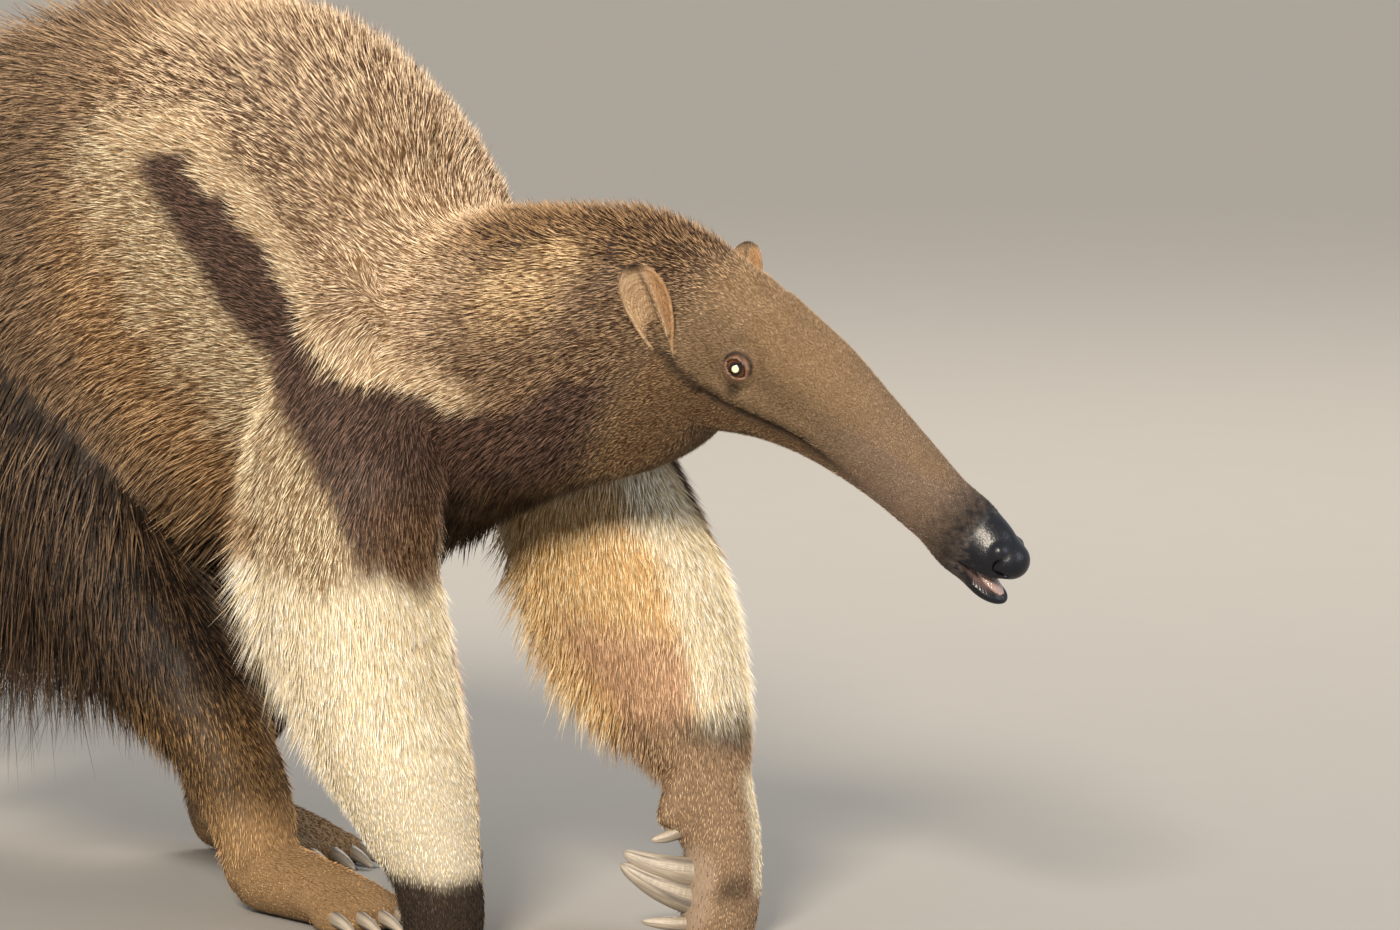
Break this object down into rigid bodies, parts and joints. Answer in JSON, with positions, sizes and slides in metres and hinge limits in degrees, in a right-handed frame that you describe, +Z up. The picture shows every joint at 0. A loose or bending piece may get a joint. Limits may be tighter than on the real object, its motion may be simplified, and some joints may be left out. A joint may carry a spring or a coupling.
{
  "type": "giant anteater",
  "caption": "Life-size still giant anteater in mid-stride, long head lowered and turned, with folded claws, a bristly back mane and a long hair flag on the tail.",
  "frame": {"origin": "middle of the bounding box, on the floor", "axes": "+X towards the head along the trunk, +Y to the animal's left, +Z up"},
  "size_m": [1.784, 0.31, 0.6129],
  "materials": {
    "coat": "coarse grizzled buff and brown hair",
    "dark_coat": "long dark brown hair with pale flecks",
    "pale_coat": "short cream-white hair",
    "face_fur": "short close grey-brown hair",
    "nose_skin": "bare, moist and slightly shiny",
    "tongue": "wet",
    "horn": "worn grey horn",
    "eye": "polished dark brown"
  },
  "bodies": {
    "root": {"claw_first_left": "horn", "claw_first_right": "horn", "claw_fourth_left": "horn", "claw_fourth_right": "horn", "claw_second_left": "horn", "claw_second_right": "horn", "claw_third_left": "horn", "claw_third_right": "horn", "ear_left": "face_fur", "ear_right": "face_fur", "eye_left": "eye", "eye_right": "eye", "foot_left": "dark_coat", "foot_right": "dark_coat", "forearm_left": "pale_coat", "forearm_right": "pale_coat", "hand_left": "dark_coat", "hand_right": "dark_coat", "head": "face_fur", "lower_jaw": "nose_skin", "neck": "coat", "shank_left": "dark_coat", "shank_right": "dark_coat", "tail_end": "dark_coat", "tail_middle": "dark_coat", "tail_root": "dark_coat", "thigh_left": "dark_coat", "thigh_right": "dark_coat", "toenail_1_left": "horn", "toenail_1_right": "horn", "toenail_2_left": "horn", "toenail_2_right": "horn", "toenail_3_left": "horn", "toenail_3_right": "horn", "toenail_4_left": "horn", "toenail_4_right": "horn", "toenail_5_left": "horn", "toenail_5_right": "horn", "tongue": "tongue", "torso": "coat", "upper_arm_left": "coat", "upper_arm_right": "coat"}
  },
  "joints": []
}
